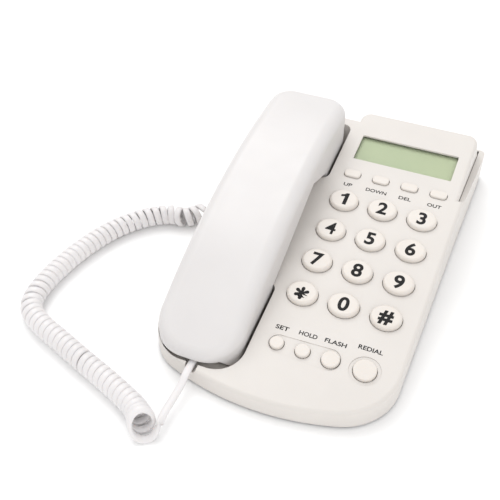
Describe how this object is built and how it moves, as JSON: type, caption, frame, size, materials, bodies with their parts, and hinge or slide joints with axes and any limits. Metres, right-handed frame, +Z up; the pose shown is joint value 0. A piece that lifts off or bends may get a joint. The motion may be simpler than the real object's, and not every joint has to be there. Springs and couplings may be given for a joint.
{
  "type": "corded desk telephone",
  "caption": "Wedge-shaped corded desk telephone with display, oval dial keys, a handset in wells along the left side and a curly cord.",
  "frame": {"origin": "middle of the base's footprint on the table, at the underside of the feet", "axes": "+Y from the front edge to the rear, +X to the right seen from the front, +Z up"},
  "size_m": [0.2103, 0.2695, 0.063],
  "materials": {
    "case_plastic": "fine satin texture",
    "handset_plastic": "smooth satin",
    "key_plastic": "smooth satin",
    "hook_plastic": "smooth",
    "clear_lens": "clear, polished",
    "display_glass": "reflective liquid crystal panel",
    "board_laminate": "solder mask",
    "pad_rubber": "moulded silicone",
    "foot_rubber": "matt",
    "screw_steel": "zinc plated",
    "speaker_metal": "pressed",
    "dark_plastic": "moulded",
    "cord_plastic": "smooth vinyl",
    "plug_plastic": "clear moulded"
  },
  "bodies": {
    "base": {"upper_case": "case_plastic", "lower_case": "case_plastic", "rubber_feet": "foot_rubber", "case_screws": "screw_steel", "display_lens": "clear_lens", "display_panel": "display_glass", "display_board": "board_laminate", "key_pad_rubber": "pad_rubber", "main_board": "board_laminate", "ballast_plate": "screw_steel", "ringer_speaker": "speaker_metal", "hook_switch": "dark_plastic", "switch_bracket": "dark_plastic", "base_cord_socket": "dark_plastic", "line_socket": "dark_plastic", "curly_cord": "cord_plastic", "cord_tail_handset": "cord_plastic", "cord_tail_base": "cord_plastic", "cord_plug_base": "plug_plastic"},
    "handset": {"handset_top": "handset_plastic", "handset_bottom": "handset_plastic", "receiver_capsule": "dark_plastic", "microphone_capsule": "speaker_metal", "handset_weight": "screw_steel", "handset_socket": "dark_plastic", "handset_screw": "screw_steel", "cord_plug_handset": "plug_plastic"},
    "hook": {"hook_plunger": "hook_plastic"},
    "key_1": {"key_1": "key_plastic"},
    "key_2": {"key_2": "key_plastic"},
    "key_3": {"key_3": "key_plastic"},
    "key_4": {"key_4": "key_plastic"},
    "key_5": {"key_5": "key_plastic"},
    "key_6": {"key_6": "key_plastic"},
    "key_7": {"key_7": "key_plastic"},
    "key_8": {"key_8": "key_plastic"},
    "key_9": {"key_9": "key_plastic"},
    "key_star": {"key_star": "key_plastic"},
    "key_0": {"key_0": "key_plastic"},
    "key_hash": {"key_hash": "key_plastic"},
    "key_up": {"key_up": "key_plastic"},
    "key_down": {"key_down": "key_plastic"},
    "key_del": {"key_del": "key_plastic"},
    "key_out": {"key_out": "key_plastic"},
    "key_set": {"key_set": "key_plastic"},
    "key_hold": {"key_hold": "key_plastic"},
    "key_flash": {"key_flash": "key_plastic"},
    "key_redial": {"key_redial": "key_plastic"}
  },
  "joints": [
    {"name": "handset_lift", "type": "slide", "parent": "base", "child": "handset", "axis": [0, 0, 1], "range_m": [0, 0.08]},
    {"name": "hook_rise", "type": "slide", "parent": "base", "child": "hook", "axis": [0, 0, 1], "range_m": [0, 0.005]},
    {"name": "key_1_press", "type": "slide", "parent": "base", "child": "key_1", "axis": [0, 0.1659, -0.9861], "range_m": [0, 0.0012], "stiffness_N_per_m": 300, "springref_m": -0.0015},
    {"name": "key_2_press", "type": "slide", "parent": "base", "child": "key_2", "axis": [0, 0.1659, -0.9861], "range_m": [0, 0.0012], "stiffness_N_per_m": 300, "springref_m": -0.0015},
    {"name": "key_3_press", "type": "slide", "parent": "base", "child": "key_3", "axis": [0, 0.1659, -0.9861], "range_m": [0, 0.0012], "stiffness_N_per_m": 300, "springref_m": -0.0015},
    {"name": "key_4_press", "type": "slide", "parent": "base", "child": "key_4", "axis": [0, 0.1659, -0.9861], "range_m": [0, 0.0012], "stiffness_N_per_m": 300, "springref_m": -0.0015},
    {"name": "key_5_press", "type": "slide", "parent": "base", "child": "key_5", "axis": [0, 0.1659, -0.9861], "range_m": [0, 0.0012], "stiffness_N_per_m": 300, "springref_m": -0.0015},
    {"name": "key_6_press", "type": "slide", "parent": "base", "child": "key_6", "axis": [0, 0.1659, -0.9861], "range_m": [0, 0.0012], "stiffness_N_per_m": 300, "springref_m": -0.0015},
    {"name": "key_7_press", "type": "slide", "parent": "base", "child": "key_7", "axis": [0, 0.1659, -0.9861], "range_m": [0, 0.0012], "stiffness_N_per_m": 300, "springref_m": -0.0015},
    {"name": "key_8_press", "type": "slide", "parent": "base", "child": "key_8", "axis": [0, 0.1659, -0.9861], "range_m": [0, 0.0012], "stiffness_N_per_m": 300, "springref_m": -0.0015},
    {"name": "key_9_press", "type": "slide", "parent": "base", "child": "key_9", "axis": [0, 0.1659, -0.9861], "range_m": [0, 0.0012], "stiffness_N_per_m": 300, "springref_m": -0.0015},
    {"name": "key_star_press", "type": "slide", "parent": "base", "child": "key_star", "axis": [0, 0.1659, -0.9861], "range_m": [0, 0.0012], "stiffness_N_per_m": 300, "springref_m": -0.0015},
    {"name": "key_0_press", "type": "slide", "parent": "base", "child": "key_0", "axis": [0, 0.1659, -0.9861], "range_m": [0, 0.0012], "stiffness_N_per_m": 300, "springref_m": -0.0015},
    {"name": "key_hash_press", "type": "slide", "parent": "base", "child": "key_hash", "axis": [0, 0.1659, -0.9861], "range_m": [0, 0.0012], "stiffness_N_per_m": 300, "springref_m": -0.0015},
    {"name": "key_up_press", "type": "slide", "parent": "base", "child": "key_up", "axis": [0, 0.1659, -0.9861], "range_m": [0, 0.0012], "stiffness_N_per_m": 300, "springref_m": -0.0015},
    {"name": "key_down_press", "type": "slide", "parent": "base", "child": "key_down", "axis": [0, 0.1659, -0.9861], "range_m": [0, 0.0012], "stiffness_N_per_m": 300, "springref_m": -0.0015},
    {"name": "key_del_press", "type": "slide", "parent": "base", "child": "key_del", "axis": [0, 0.1659, -0.9861], "range_m": [0, 0.0012], "stiffness_N_per_m": 300, "springref_m": -0.0015},
    {"name": "key_out_press", "type": "slide", "parent": "base", "child": "key_out", "axis": [0, 0.1659, -0.9861], "range_m": [0, 0.0012], "stiffness_N_per_m": 300, "springref_m": -0.0015},
    {"name": "key_set_press", "type": "slide", "parent": "base", "child": "key_set", "axis": [0, 0.1659, -0.9861], "range_m": [0, 0.0012], "stiffness_N_per_m": 300, "springref_m": -0.0015},
    {"name": "key_hold_press", "type": "slide", "parent": "base", "child": "key_hold", "axis": [0, 0.1659, -0.9861], "range_m": [0, 0.0012], "stiffness_N_per_m": 300, "springref_m": -0.0015},
    {"name": "key_flash_press", "type": "slide", "parent": "base", "child": "key_flash", "axis": [0, 0.1659, -0.9861], "range_m": [0, 0.0012], "stiffness_N_per_m": 300, "springref_m": -0.0015},
    {"name": "key_redial_press", "type": "slide", "parent": "base", "child": "key_redial", "axis": [0, 0.1659, -0.9861], "range_m": [0, 0.0012], "stiffness_N_per_m": 300, "springref_m": -0.0015}
  ],
  "couplings": [
    {"joint": "hook_rise", "follows": "handset_lift", "ratio": 0.0625}
  ]
}
